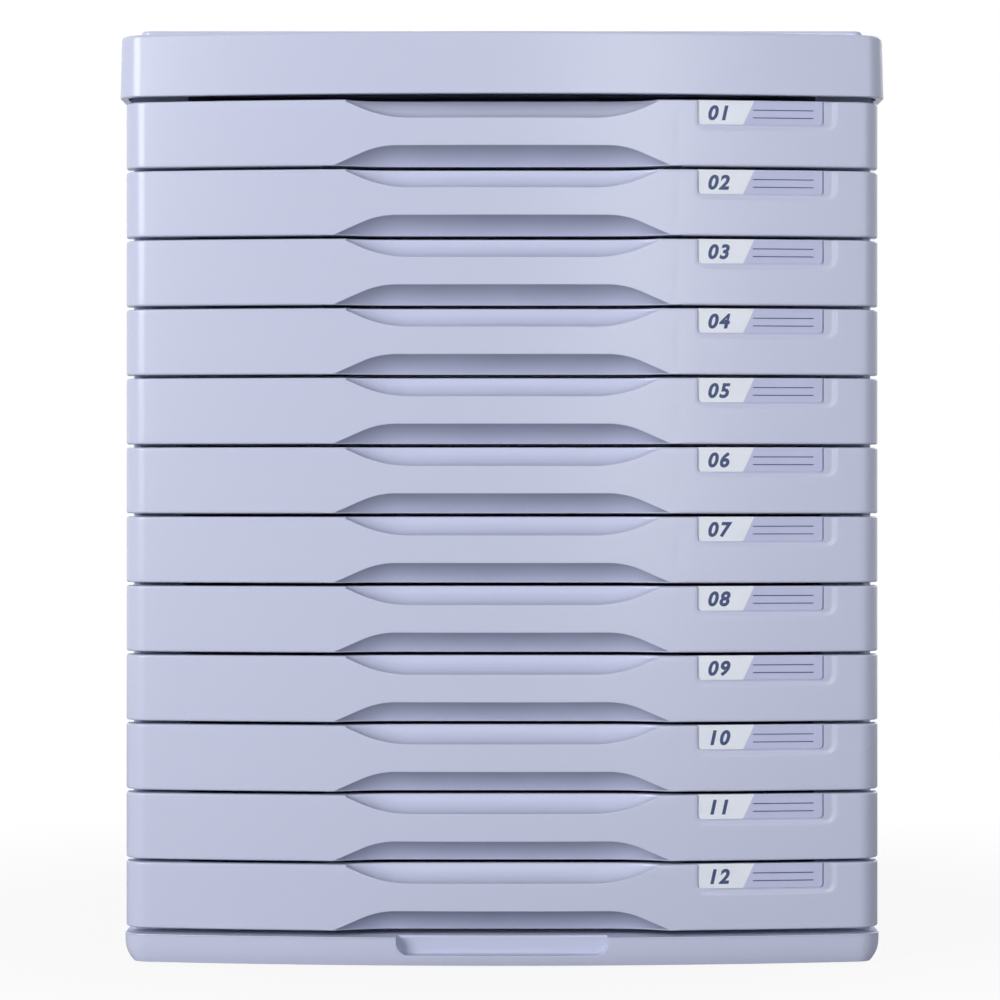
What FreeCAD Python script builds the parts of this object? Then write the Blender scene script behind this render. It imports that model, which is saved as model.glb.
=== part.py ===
import FreeCAD, Part
import math
import os
import re
import Sketcher

# A desktop cabinet of twelve shallow drawers for loose papers. Each drawer slides in a frame
# of its own, the frames stand on each other, a base carries the stack and a cover closes it.
# Millimetres, +Z up, fronts towards -Y. The origin is on the ground below the middle.

drawer_count = 12

# Driving dimensions: name, value, what it is
dimensions = [
    ("pitch", 27.0, "height of one frame, and so of one drawer in the stack"),
    ("faceGap", 1.3, "gap between one drawer face and the next"),
    ("faceInset", 2.25, "side of a drawer face inside the side of the cover"),
    ("faceBow", 12.0, "how far a face bows forward over its width"),
    ("faceCorner", 10.0, "radius of a face's upright corners"),
    ("faceSetback", 3.0, "the faces stand this far behind the cover's front"),
    ("faceDepth", 23.0, "middle of a face to the rear edge of its side returns"),
    ("faceWall", 4.0, "wall of a face beside the scoops"),
    ("wingWall", 2.2, "wall of the hollow side returns"),
    ("scoopWaist", 48.0, "half width of a scoop where its slope meets its flat"),
    ("scoopSlope", 23.7, "slope of a scoop's ends, degrees"),
    ("upperScoop", 7.1, "height of the scoop in the upper edge"),
    ("lowerScoop", 7.7, "height of the scoop in the lower edge"),
    ("scoopDepth", 8.5, "depth of the scoops behind the middle of the face"),
    ("scoopCove", 3.9, "radius that rounds a scoop's walls into its floor"),
    ("scoopWall", 2.4, "wall behind a scoop"),
    ("scoopSide", 4.5, "wall beside a scoop"),
    ("wingReach", 23.0, "side of a face outside the side of its drawer box"),
    ("boxWall", 2.0, "side and rear walls of a drawer box"),
    ("boxFloor", 1.6, "floor of a drawer box"),
    ("boxRearGap", 3.0, "rear of a drawer box to the frame's rear wall"),
    ("sideGap", 1.0, "side of a drawer box to the column beside it"),
    ("slideGap", 0.3, "floor of a drawer to the ledges that it slides on"),
    ("travel", 228.0, "how far a drawer comes out"),
    ("stopGap", 0.3, "stop to the front bar at the end of the travel"),
    ("stopSpacing", 160.0, "distance between the two stops of a drawer"),
    ("stopWidth", 12.0, "width of a stop"),
    ("stopHeight", 1.2, "how far a stop hangs below the floor"),
    ("stopRamp", 8.0, "length of the ramp behind a stop"),
    ("labelInset", 22.25, "side of a face to the label's outer end"),
    ("labelWidth", 49.5, "width of the label pocket"),
    ("labelHeight", 9.5, "height of the label pocket"),
    ("labelSideBevel", 12.0, "bevel beside the label, towards the corner"),
    ("labelLowBevel", 3.0, "bevel below the label"),
    ("windowInset", 0.9, "front of the window behind the face"),
    ("windowThickness", 0.8, "thickness of the clear window"),
    ("cardThickness", 0.3, "thickness of the card"),
    ("labelGap", 0.15, "play at each end of the window and card"),
    ("frameGap", 0.5, "side returns of a closed face to the frame"),
    ("columnWidth", 20.0, "width of a hollow side column"),
    ("columnWall", 2.0, "walls, ribs and top of a column"),
    ("columnCorner", 3.0, "chamfer of a column's outer front corner"),
    ("rearWall", 2.0, "rear wall of a frame"),
    ("rearInset", 1.0, "rear of the frames in front of the cover's rear"),
    ("ledgeWidth", 6.0, "width of the ledges under a drawer"),
    ("ledgeThickness", 1.6, "thickness of the ledges and bars"),
    ("frontBar", 16.0, "depth of the bar across a frame's front"),
    ("rearBar", 10.0, "depth of the bar along a frame's rear wall"),
    ("lugLength", 20.0, "length of a stacking lug"),
    ("lugHeight", 3.0, "height of a stacking lug"),
    ("lugGap", 0.2, "play all round a stacking lug"),
    ("coverWidth", 300.0, "width of the top cover, the widest piece"),
    ("coverDepth", 350.0, "depth of the top cover and the base"),
    ("coverBow", 13.0, "how far the cover and base bow forward"),
    ("coverCorner", 11.0, "radius of the cover's front corners"),
    ("coverRearCorner", 5.0, "radius of the cover's rear corners"),
    ("coverGap", 1.85, "gap between the top drawer's face and the cover's skirt"),
    ("coverHeight", 24.2, "height of the cover's skirt"),
    ("coverDraft", 1.5, "lean of the cover's sides, degrees"),
    ("coverWall", 2.5, "top and least side wall of the cover"),
    ("coverEdge", 1.2, "chamfer of the cover's upper edge"),
    ("panelInset", 8.5, "sides and rear of the cover to its raised panel"),
    ("panelSetback", 17.0, "front of the cover to the straight front of the raised panel"),
    ("panelHeight", 2.2, "height of the raised panel"),
    ("panelCorner", 4.0, "radius of the raised panel's corners"),
    ("panelChamfer", 1.0, "chamfer of the raised panel"),
    ("coverRib", 2.0, "thickness of the cover's stiffening ribs"),
    ("coverRibHeight", 9.0, "height of the cover's stiffening ribs"),
    ("coverRibSpacing", 110.0, "distance between the cover's stiffening ribs"),
    ("seatOverlap", 2.0, "how far the cover's seats reach in over the top drawer"),
    ("baseInset", 2.0, "side of the base inside the side of the cover"),
    ("baseHeight", 11.0, "height of the base's front"),
    ("baseCorner", 10.0, "radius of the base's front corners"),
    ("baseRearCorner", 5.0, "radius of the base's rear corners"),
    ("baseEdge", 5.0, "chamfer of the base's lower edge"),
    ("baseRim", 7.5, "rim round the base's hollow"),
    ("baseTop", 2.5, "plate over the base's hollow, and wall behind its grip"),
    ("hollowCorner", 3.0, "radius of the hollow's corners"),
    ("baseRib", 2.0, "thickness of the ribs in the base's hollow"),
    ("baseRibSpacing", 120.0, "distance between the cross ribs"),
    ("baseLongSpacing", 190.0, "distance between the long ribs"),
    ("deckRise", 1.5, "rise of the deck that carries the lowest frame"),
    ("deckSetback", 9.0, "front of the base to the front of the deck"),
    ("gripWidth", 82.0, "width of the grip pocket in the base's front"),
    ("gripHeight", 7.0, "height of the grip pocket"),
    ("gripDepth", 7.0, "depth of the grip pocket"),
    ("gripCorner", 3.0, "radius of the grip pocket's lower corners"),
    ("footDiameter", 16.0, "diameter of a rubber foot"),
    ("footProud", 1.2, "thickness of a foot"),
    ("footRim", 1.5, "how far the boss over a foot stands out round it"),
    ("footInset", 32.0, "edges of the base to the middle of a foot"),
]

document = FreeCAD.newDocument("DrawerCabinet")
sheet = document.addObject("Spreadsheet::Sheet", "Sizes")
for row, (name, value, meaning) in enumerate(dimensions, 1):
    sheet.set(f"A{row}", name)
    sheet.set(f"B{row}", str(value))
    sheet.setAlias(f"B{row}", name)
    sheet.set(f"C{row}", meaning)
document.recompute()
names = {name for name, value, meaning in dimensions}

# Places worked out from the sizes. Y runs from front to rear, Z up from the foot of a frame.
cover_front = "(-coverDepth / 2)"
cover_rear = "(coverDepth / 2)"
cover_radius = "((coverWidth^2 / 4 + coverBow^2) / (2 * coverBow))"
cover_ceiling = "(coverHeight - coverWall)"
seat_drop = "(coverGap - faceGap / 2)"
cover_lean = "(coverHeight * tan(coverDraft))"
face_width = "(coverWidth - 2 * faceInset)"
box_width = f"({face_width} - 2 * wingReach)"
base_width = "(coverWidth - 2 * baseInset)"
face_front = f"({cover_front} + faceSetback)"
face_rear = f"({face_front} + faceDepth)"
face_low = "(faceGap / 2)"
face_high = "(pitch - faceGap / 2)"
face_radius = f"(({face_width}^2 / 4 + faceBow^2) / (2 * faceBow))"
frame_front = f"({face_rear} + frameGap)"
frame_rear = f"({cover_rear} - rearInset)"
wall_front = f"({frame_rear} - rearWall)"
column_inner = f"({box_width} / 2 + sideGap)"
column_outer = f"({column_inner} + columnWidth)"
floor_low = "(ledgeThickness + slideGap)"
box_rear = f"({wall_front} - boxRearGap)"
well_side = f"({box_width} / 2 - boxWall)"
label_middle = f"({face_width} / 2 - labelInset - labelWidth / 2)"
label_angle = f"asin({label_middle} / {face_radius})"
label_front = f"({face_front} + {face_radius} * (1 - cos({label_angle})))"
base_ceiling = "(baseHeight + deckRise - baseTop)"
deck_high = "(footProud + baseHeight + deckRise)"
beyond = 1.0  # cuts start or end this far outside the solid
cove_share = 0.65  # the most of a wall's height that the cove at its foot may take

pieces = []


def formula(text):
    """The text with each size's name written as a reference to its cell."""
    return re.sub(r"[A-Za-z]\w*", lambda word: ("Sizes." if word[0] in names else "") + word[0], text)


def measure(text):
    """The value that a formula has now."""
    result = sheet.evalExpression(formula(text))
    return getattr(result, "Value", result)


def bind(item, path, text):
    """Tie a property of an object to a formula of the sizes."""
    item.setExpression(path, formula(text))


def unit_low(number):
    """Height of the foot of a frame; the frames are numbered from the top."""
    return f"({deck_high} + {drawer_count - number} * pitch)"


def bow_depth(front, radius, wall, reach):
    """How far back the inside of a bowed wall lies at a distance from the middle."""
    return f"({front} + {radius} - sqrt(({radius} - {wall})^2 - {reach}^2))"


def with_mirror(right):
    """Corners on the right, followed by their mirror images on the left."""
    return right + [(f"(-{x})", y) for x, y in reversed(right)]


# Bodies and sketches

def new_body(label, lift):
    """An empty body that stands at the given height."""
    body = document.addObject("PartDesign::Body", label)
    body.Label = label
    bind(body, "Placement.Base.z", lift)
    pieces.append(body)
    return body


def new_sketch(body, plane, x="0", y="0", z="0", turn_axis=None, turn=None):
    """A sketch on one of the body's own planes, moved and turned in that plane's axes."""
    sketch = body.newObject("Sketcher::SketchObject", "Sketch")
    flat = next(item for item in body.Origin.OriginFeatures if item.Role == plane)
    sketch.AttachmentSupport = [(flat, "")]
    sketch.MapMode = "FlatFace"
    if turn:
        rotation = FreeCAD.Rotation(FreeCAD.Vector(*turn_axis), measure(turn))
        sketch.AttachmentOffset = FreeCAD.Placement(FreeCAD.Vector(), rotation)
        bind(sketch, "AttachmentOffset.Rotation.Angle", turn)
    for axis, distance in (("x", x), ("y", y), ("z", z)):
        if distance != "0":
            bind(sketch, f"AttachmentOffset.Base.{axis}", distance)
    return sketch


def constrain(sketch, rule, text):
    """Add a dimension to a sketch and tie it to a formula."""
    bind(sketch, f"Constraints[{sketch.addConstraint(rule)}]", text)


def arc_between(start, end, radius, side):
    """The short arc from start to end, its centre on the left (side 1) or right (side -1)."""
    chord = end.sub(start)
    rise = math.sqrt(radius**2 - (chord.Length / 2) ** 2)
    across = FreeCAD.Vector(-chord.y, chord.x, 0).normalize()
    centre = start.add(end).multiply(0.5).add(across.multiply(side * rise))
    order = (start, end) if side > 0 else (end, start)
    angles = [math.atan2(point.y - centre.y, point.x - centre.x) for point in order]
    return Part.ArcOfCircle(Part.Circle(centre, FreeCAD.Vector(0, 0, 1), radius), *angles)


def outline(sketch, corners, bends=None):
    """A closed outline; bends holds the radius and side of the arc that starts at a corner."""
    bends = bends or {}
    points = [FreeCAD.Vector(measure(x), measure(y), 0) for x, y in corners]
    first = sketch.GeometryCount
    starts = []
    for index, start in enumerate(points):
        end = points[(index + 1) % len(points)]
        radius, side = bends.get(index, ("0", 1))
        if index in bends:
            sketch.addGeometry(arc_between(start, end, measure(radius), side), False)
            constrain(sketch, Sketcher.Constraint("Radius", first + index, measure(radius)), radius)
        else:
            sketch.addGeometry(Part.LineSegment(start, end), False)
        starts.append(1 if side > 0 else 2)
    for index, (x, y) in enumerate(corners):
        here = (first + index, starts[index])
        before = (index - 1) % len(corners)
        join = Sketcher.Constraint("Coincident", first + before, 3 - starts[before], *here)
        sketch.addConstraint(join)
        for kind, text in (("DistanceX", x), ("DistanceY", y)):
            constrain(sketch, Sketcher.Constraint(kind, -1, 1, *here, measure(text)), text)


def rectangle(sketch, left, right, low, high):
    """An upright rectangle."""
    outline(sketch, [(left, low), (right, low), (right, high), (left, high)])


def rectangle_pair(sketch, inner, outer, low, high):
    """A rectangle on the right of the middle, and its mirror image."""
    rectangle(sketch, inner, outer, low, high)
    rectangle(sketch, f"(-{outer})", f"(-{inner})", low, high)


def circle(sketch, x, y, radius):
    """A circle about a point."""
    centre = FreeCAD.Vector(measure(x), measure(y), 0)
    shape = Part.Circle(centre, FreeCAD.Vector(0, 0, 1), measure(radius))
    index = sketch.addGeometry(shape, False)
    constrain(sketch, Sketcher.Constraint("DistanceX", -1, 1, index, 3, centre.x), x)
    constrain(sketch, Sketcher.Constraint("DistanceY", -1, 1, index, 3, centre.y), y)
    constrain(sketch, Sketcher.Constraint("Radius", index, measure(radius)), radius)


def bowed_plan(sketch, width, front, radius, corner, rear, rear_corner=None):
    """A plan with a bowed front whose rounded corners run smoothly into its sides."""
    side = f"({width} / 2)"
    middle = f"({side} - {corner})"
    share = f"({radius} / ({radius} - {corner}))"
    drop = f"sqrt(({radius} - {corner})^2 - {middle}^2)"
    right = [
        (f"({middle} * {share})", f"({front} + {radius} - {drop} * {share})"),
        (side, f"({front} + {radius} - {drop})"),
    ]
    bends = {0: (corner, 1)}
    if rear_corner:
        right += [(side, f"({rear} - {rear_corner})"), (f"({side} - {rear_corner})", rear)]
        bends.update({2: (rear_corner, 1), 4: (rear_corner, 1)})
    else:
        right += [(side, rear)]
    corners = with_mirror(right)
    bends.update({len(corners) - 2: (corner, 1), len(corners) - 1: (radius, 1)})
    outline(sketch, corners, bends)


# Features

def extrude(kind, body, sketch, length, reverse=False, symmetric=False, taper=None):
    """A pad or a pocket of a sketch."""
    feature = body.newObject(f"PartDesign::{kind}", kind)
    feature.Profile = sketch
    feature.Reversed = reverse
    bind(feature, "Length", length)
    if symmetric:
        feature.SideType = "Symmetric"
    if taper:
        bind(feature, "TaperAngle", taper)
    return feature


def pad(body, sketch, length, **choices):
    """Material added on a sketch, along its normal."""
    return extrude("Pad", body, sketch, length, **choices)


def pocket(body, sketch, length, **choices):
    """Material taken out behind a sketch, against its normal."""
    return extrude("Pocket", body, sketch, length, **choices)


def dress(kind, body, size, wanted):
    """Round or chamfer those edges of the body that pass the test."""
    document.recompute()
    base = body.Tip
    edges = [f"Edge{index}" for index, edge in enumerate(base.Shape.Edges, 1) if wanted(edge)]
    feature = body.newObject(f"PartDesign::{kind}", kind)
    feature.Base = (base, edges)
    bind(feature, "Radius" if kind == "Fillet" else "Size", size)
    return feature


def lies_at(edge, axis, place):
    """Whether an edge lies in the plane at that place along the axis."""
    box = edge.BoundBox
    low, high = {"y": (box.YMin, box.YMax), "z": (box.ZMin, box.ZMax)}[axis]
    return max(abs(low - place), abs(high - place)) < 0.001


# Stacking: the bays of the columns sit over the lugs of the piece below

def end_bays():
    """Front and rear of the bay at each end of a column."""
    length = "(lugLength + 2 * lugGap)"
    front = f"({frame_front} + columnWall)"
    rear = f"({frame_rear} - columnWall)"
    return [(front, f"({front} + {length})"), (f"({rear} - {length})", rear)]


def draw_bays(sketch):
    """The hollows of both columns: a bay for a lug at each end, and a long one between."""
    (front, front_end), (rear_start, rear) = end_bays()
    middle = (f"({front_end} + columnWall)", f"({rear_start} - columnWall)")
    for low, high in [(front, front_end), middle, (rear_start, rear)]:
        inner = f"({column_inner} + columnWall)"
        rectangle_pair(sketch, inner, f"({column_outer} - columnWall)", low, high)


def add_lugs(body, height):
    """Four lugs on top of a piece, one for each end bay of the columns above."""
    sketch = new_sketch(body, "XY_Plane", z=height)
    inner = f"({column_inner} + columnWall + lugGap)"
    outer = f"({column_outer} - columnWall - lugGap)"
    for low, high in end_bays():
        rectangle_pair(sketch, inner, outer, f"({low} + lugGap)", f"({high} - lugGap)")
    pad(body, sketch, "lugHeight")


# Frames

def make_frame(number):
    """A frame: hollow columns, a rear wall, and the ledges and bars under one drawer."""
    body = new_body(f"frame_{number:02d}", unit_low(number))

    plan = new_sketch(body, "XY_Plane")
    right = [
        (column_inner, wall_front),
        (column_inner, frame_front),
        (f"({column_outer} - columnCorner)", frame_front),
        (column_outer, f"({frame_front} + columnCorner)"),
        (column_outer, frame_rear),
    ]
    outline(plan, with_mirror(right))
    pad(body, plan, "pitch")

    shelf = new_sketch(body, "XY_Plane")
    ledge = f"({column_inner} - ledgeWidth)"
    rectangle(shelf, f"(-{column_inner})", column_inner, frame_front, wall_front)
    rectangle(shelf, f"(-{ledge})", ledge, f"({frame_front} + frontBar)", f"({wall_front} - rearBar)")
    pad(body, shelf, "ledgeThickness")

    bays = new_sketch(body, "XY_Plane")
    draw_bays(bays)
    pocket(body, bays, "(pitch - columnWall)", reverse=True)
    add_lugs(body, "pitch")


# Drawers

def scoop_reach(height):
    """Half width of a scoop at the edge of the face."""
    return f"(scoopWaist + {height} / tan(scoopSlope))"


def draw_scoop(sketch, edge, away, height):
    """A scoop from the front: open at the face's edge, with a flat between two slopes."""
    outside = "-" if away == "+" else "+"
    right = [
        (scoop_reach(height), f"({edge} {outside} {beyond})"),
        (scoop_reach(height), edge),
        ("scoopWaist", f"({edge} {away} {height})"),
    ]
    outline(sketch, with_mirror(right))


def add_scoops(body):
    """Finger scoops in both edges of the face, with walls that run round into their floors."""
    for edge, away, height in ((face_low, "+", "lowerScoop"), (face_high, "-", "upperScoop")):
        sketch = new_sketch(body, "XZ_Plane", z=f"(-{face_front})")
        draw_scoop(sketch, edge, away, height)
        pocket(body, sketch, "scoopDepth")
    floor = measure(f"{face_front} + scoopDepth")
    edges = (measure(face_low), measure(face_high))
    end_wall = f"(scoopDepth - {bow_depth('0', face_radius, '0', scoop_reach('lowerScoop'))})"
    least_wall = f"min({end_wall}; upperScoop; lowerScoop)"
    dress(
        "Fillet",
        body,
        f"min(scoopCove; {cove_share} * {least_wall})",
        lambda edge: lies_at(edge, "y", floor) and not any(lies_at(edge, "z", z) for z in edges),
    )


def add_label_pocket(body):
    """A bevelled recess in the face, and behind it a pocket for card and window, open above."""
    half = "(labelWidth / 2)"
    sections = []
    for depth in (f"(-{beyond})", "windowInset"):
        sketch = new_sketch(
            body,
            "XZ_Plane",
            x=f"({label_middle} - {depth} * sin({label_angle}))",
            y=face_high,
            z=f"(-({label_front} + {depth} * cos({label_angle})))",
            turn_axis=(0, 1, 0),
            turn=label_angle,
        )
        grow = f"((windowInset - {depth}) / windowInset)"
        rectangle(
            sketch,
            f"(-{half})",
            f"({half} + {grow} * labelSideBevel)",
            f"(-labelHeight - {grow} * labelLowBevel)",
            f"{beyond}",
        )
        sections.append(sketch)
    recess = body.newObject("PartDesign::SubtractiveLoft", "Recess")
    recess.Profile = sections[0]
    recess.Sections = [sections[1]]

    sketch = new_sketch(
        body,
        "XY_Plane",
        x=label_middle,
        y=label_front,
        z=face_high,
        turn_axis=(0, 0, 1),
        turn=label_angle,
    )
    depth = "(windowInset + windowThickness + cardThickness)"
    rectangle(sketch, f"(-{half})", half, f"(-{beyond})", depth)
    pocket(body, sketch, "labelHeight")


def draw_wings(sketch):
    """The hollows of both side returns, open to the rear, inside the face's outline."""
    inside = f"({face_radius} - wingWall)"
    middle = f"({face_width} / 2 - faceCorner)"
    drop = f"sqrt(({face_radius} - faceCorner)^2 - {middle}^2)"
    share = f"({inside} / ({face_radius} - faceCorner))"
    start = f"({box_width} / 2)"
    side = f"({face_width} / 2 - wingWall)"
    open_end = f"({face_rear} + {beyond})"
    right = [
        (start, bow_depth(face_front, face_radius, "wingWall", start)),
        (f"({middle} * {share})", f"({face_front} + {face_radius} - {drop} * {share})"),
        (side, f"({face_front} + {face_radius} - {drop})"),
        (side, open_end),
        (start, open_end),
    ]
    left = [(f"(-{x})", y) for x, y in right]
    outline(sketch, right, {0: (inside, 1)})
    outline(sketch, left, {0: (inside, -1)})


def add_stops(body):
    """Two stops under the floor, steep in front and ramped behind, that meet the front bar."""
    front = f"({frame_front} + frontBar + travel + stopGap)"
    rear = f"({front} + stopRamp)"
    inside = f"({floor_low} + boxFloor / 2)"
    for sign in ("", "-"):
        sketch = new_sketch(body, "YZ_Plane", z=f"({sign}stopSpacing / 2)")
        low = f"({floor_low} - stopHeight)"
        outline(sketch, [(front, low), (rear, floor_low), (rear, inside), (front, inside)])
        pad(body, sketch, "stopWidth", symmetric=True)


def make_drawer(number):
    """A drawer in one moulding: an open box behind a bowed, scooped front."""
    body = new_body(f"drawer_{number:02d}", unit_low(number))

    front = new_sketch(body, "XY_Plane", z=face_low)
    bowed_plan(front, face_width, face_front, face_radius, "faceCorner", face_rear)
    pad(body, front, f"({face_high} - {face_low})")

    box = new_sketch(body, "XY_Plane", z=floor_low)
    box_front = f"({face_rear} - faceWall)"
    rectangle(box, f"(-{box_width} / 2)", f"({box_width} / 2)", box_front, box_rear)
    pad(body, box, f"({face_high} - {floor_low})")

    well = new_sketch(body, "XY_Plane", z=face_high)
    shoulder = f"({scoop_reach('lowerScoop')} + scoopSide)"
    right = [
        (shoulder, f"({face_front} + scoopDepth + scoopWall)"),
        (shoulder, bow_depth(face_front, face_radius, "faceWall", shoulder)),
        (well_side, bow_depth(face_front, face_radius, "faceWall", well_side)),
        (well_side, f"({box_rear} - boxWall)"),
    ]
    inside = f"({face_radius} - faceWall)"
    outline(well, with_mirror(right), {1: (inside, 1), 5: (inside, 1)})
    pocket(body, well, f"({face_high} - {floor_low} - boxFloor)")

    wings = new_sketch(body, "XY_Plane", z=f"({face_low} + wingWall)")
    draw_wings(wings)
    pocket(body, wings, f"({face_high} - {face_low} - 2 * wingWall)", reverse=True)

    add_scoops(body)
    add_label_pocket(body)
    add_stops(body)


def make_label_plate(label, number, depth, thickness):
    """The window or card of a label, standing on the floor of its pocket."""
    plate = document.addObject("Part::Box", label)
    plate.Label = label
    bind(plate, "Length", "(labelWidth - 2 * labelGap)")
    bind(plate, "Width", thickness)
    bind(plate, "Height", "labelHeight")
    turn = FreeCAD.Rotation(FreeCAD.Vector(0, 0, 1), measure(label_angle))
    plate.Placement = FreeCAD.Placement(FreeCAD.Vector(), turn)
    along = "(labelGap - labelWidth / 2)"
    bind(plate, "Placement.Rotation.Angle", label_angle)
    cosine = f"cos({label_angle})"
    sine = f"sin({label_angle})"
    bind(plate, "Placement.Base.x", f"{label_middle} + {along} * {cosine} - {depth} * {sine}")
    bind(plate, "Placement.Base.y", f"{label_front} + {along} * {sine} + {depth} * {cosine}")
    bind(plate, "Placement.Base.z", f"{unit_low(number)} + {face_high} - labelHeight")
    pieces.append(plate)


# Cover

def make_cover():
    """The top cover: a drafted, bowed shell with a raised panel and seats on the top frame."""
    body = new_body("top_cover", f"{unit_low(0)} + {seat_drop}")

    skirt = new_sketch(body, "XY_Plane")
    bowed_plan(
        skirt, "coverWidth", cover_front, cover_radius, "coverCorner", cover_rear, "coverRearCorner"
    )
    pad(body, skirt, "coverHeight", taper="-coverDraft")
    top = measure("coverHeight")
    dress("Chamfer", body, "coverEdge", lambda edge: lies_at(edge, "z", top))

    panel = new_sketch(body, "XY_Plane", z="coverHeight")
    side = "(coverWidth / 2 - panelInset)"
    front, rear = f"({cover_front} + panelSetback)", f"({cover_rear} - panelInset)"
    right = [
        (f"({side} - panelCorner)", front),
        (side, f"({front} + panelCorner)"),
        (side, f"({rear} - panelCorner)"),
        (f"({side} - panelCorner)", rear),
    ]
    outline(panel, with_mirror(right), {index: ("panelCorner", 1) for index in (0, 2, 4, 6)})
    pad(body, panel, "panelHeight")
    panel_top = measure("coverHeight + panelHeight")
    dress("Chamfer", body, "panelChamfer", lambda edge: lies_at(edge, "z", panel_top))

    wall = f"({cover_lean} + coverWall)"
    hollow = new_sketch(body, "XY_Plane")
    bowed_plan(
        hollow,
        f"(coverWidth - 2 * {wall})",
        f"({cover_front} + {wall})",
        f"({cover_radius} - {wall})",
        f"(coverCorner - {wall})",
        f"({cover_rear} - {wall})",
        f"(coverRearCorner - {wall})",
    )
    pocket(body, hollow, cover_ceiling, reverse=True)

    seat_height = f"({seat_drop} + {cover_ceiling})"
    seats = new_sketch(body, "XY_Plane", z=f"(-{seat_drop})")
    seat_inner = f"({column_inner} - seatOverlap)"
    rectangle_pair(seats, seat_inner, column_outer, frame_front, frame_rear)
    pad(body, seats, seat_height)
    bays = new_sketch(body, "XY_Plane", z=f"(-{seat_drop})")
    draw_bays(bays)
    pocket(body, bays, seat_height, reverse=True)

    ribs = new_sketch(body, "XY_Plane", z=f"({cover_ceiling} - coverRibHeight)")
    for sign in ("", "-"):
        middle = f"{sign}coverRibSpacing / 2"
        low = f"({middle} - coverRib / 2)"
        high = f"({middle} + coverRib / 2)"
        rectangle(ribs, f"(-{column_inner})", column_inner, low, high)
    pad(body, ribs, "coverRibHeight")


# Base and feet

def foot_places():
    """Where the four feet stand."""
    side = f"({base_width} / 2 - footInset)"
    end = f"({cover_rear} - footInset)"
    return [(f"({x}{side})", f"({y}{end})") for x in ("", "-") for y in ("", "-")]


def make_base():
    """The base: a bowed tray with a grip pocket, a raised deck, ribs, and bosses for the feet."""
    body = new_body("base", "footProud")

    rim = new_sketch(body, "XY_Plane")
    bowed_plan(
        rim, base_width, cover_front, cover_radius, "baseCorner", cover_rear, "baseRearCorner"
    )
    pad(body, rim, "baseHeight")
    dress("Chamfer", body, "baseEdge", lambda edge: lies_at(edge, "z", 0))

    deck = new_sketch(body, "XY_Plane", z="baseHeight")
    bowed_plan(
        deck,
        f"(2 * {column_outer})",
        f"({cover_front} + deckSetback)",
        f"({cover_radius} - deckSetback)",
        "columnCorner",
        frame_rear,
    )
    pad(body, deck, "deckRise")

    hollow = new_sketch(body, "XY_Plane")
    bowed_plan(
        hollow,
        f"({base_width} - 2 * baseRim)",
        f"({cover_front} + baseRim)",
        f"({cover_radius} - baseRim)",
        "hollowCorner",
        f"({cover_rear} - baseRim)",
        "hollowCorner",
    )
    pocket(body, hollow, base_ceiling, reverse=True)

    backing = new_sketch(body, "XY_Plane")
    half = "(gripWidth / 2 + baseTop)"
    backing_rear = f"({cover_front} + gripDepth + baseTop)"
    rectangle(backing, f"(-{half})", half, f"({cover_front} + baseEdge)", backing_rear)
    pad(body, backing, base_ceiling)
    grip = new_sketch(body, "XZ_Plane", z=f"(-{cover_front})")
    grip_low = "(baseHeight - gripHeight)"
    right = [
        ("(gripWidth / 2 - gripCorner)", grip_low),
        ("(gripWidth / 2)", f"({grip_low} + gripCorner)"),
        ("(gripWidth / 2)", f"(baseHeight + {beyond})"),
    ]
    outline(grip, with_mirror(right), {0: ("gripCorner", 1), 4: ("gripCorner", 1)})
    pocket(body, grip, "gripDepth")

    long_ribs = new_sketch(body, "XY_Plane")
    middle = "baseLongSpacing / 2"
    front = f"({cover_front} + coverBow + baseRim)"
    rear = f"({cover_rear} - baseRim)"
    inner, outer = f"({middle} - baseRib / 2)", f"({middle} + baseRib / 2)"
    rectangle_pair(long_ribs, inner, outer, front, rear)
    pad(body, long_ribs, base_ceiling)
    cross_ribs = new_sketch(body, "XY_Plane")
    half = f"({base_width} / 2 - baseRim)"
    for sign in ("", "-"):
        middle = f"{sign}baseRibSpacing / 2"
        low, high = f"({middle} - baseRib / 2)", f"({middle} + baseRib / 2)"
        rectangle(cross_ribs, f"(-{half})", half, low, high)
    pad(body, cross_ribs, base_ceiling)

    bosses = new_sketch(body, "XY_Plane")
    for x, y in foot_places():
        circle(bosses, x, y, "(footDiameter / 2 + footRim)")
    pad(body, bosses, base_ceiling)
    add_lugs(body, "(baseHeight + deckRise)")


def make_feet():
    """Four rubber pads stuck under the bosses, as one group."""
    feet = []
    for x, y in foot_places():
        foot = document.addObject("Part::Cylinder", "Foot")
        bind(foot, "Radius", "(footDiameter / 2)")
        bind(foot, "Height", "footProud")
        bind(foot, "Placement.Base.x", x)
        bind(foot, "Placement.Base.y", y)
        feet.append(foot)
    group = document.addObject("Part::Compound", "rubber_feet")
    group.Label = "rubber_feet"
    group.Links = feet
    pieces.append(group)


for number in range(1, drawer_count + 1):
    make_frame(number)
    make_drawer(number)
    make_label_plate(f"label_window_{number:02d}", number, "windowInset", "windowThickness")
    card_depth = "(windowInset + windowThickness)"
    make_label_plate(f"label_card_{number:02d}", number, card_depth, "cardThickness")
make_cover()
make_base()
make_feet()
document.recompute()

# Every object is sound, and every pad adds and every pocket removes material
for item in document.Objects:
    if {"Invalid", "Error"} & set(item.State):
        raise RuntimeError(f"{item.Name} failed")
    if item.TypeId in ("PartDesign::Pad", "PartDesign::Pocket") and item.BaseFeature:
        change = item.Shape.Volume - item.BaseFeature.Shape.Volume
        if change * (1 if item.TypeId.endswith("Pad") else -1) < 1:
            raise RuntimeError(f"{item.Name} changed the volume by {change}")
for piece in pieces:
    if piece.Shape.isNull() or not piece.Shape.isValid():
        raise RuntimeError(f"{piece.Label} is not a sound solid")

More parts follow.
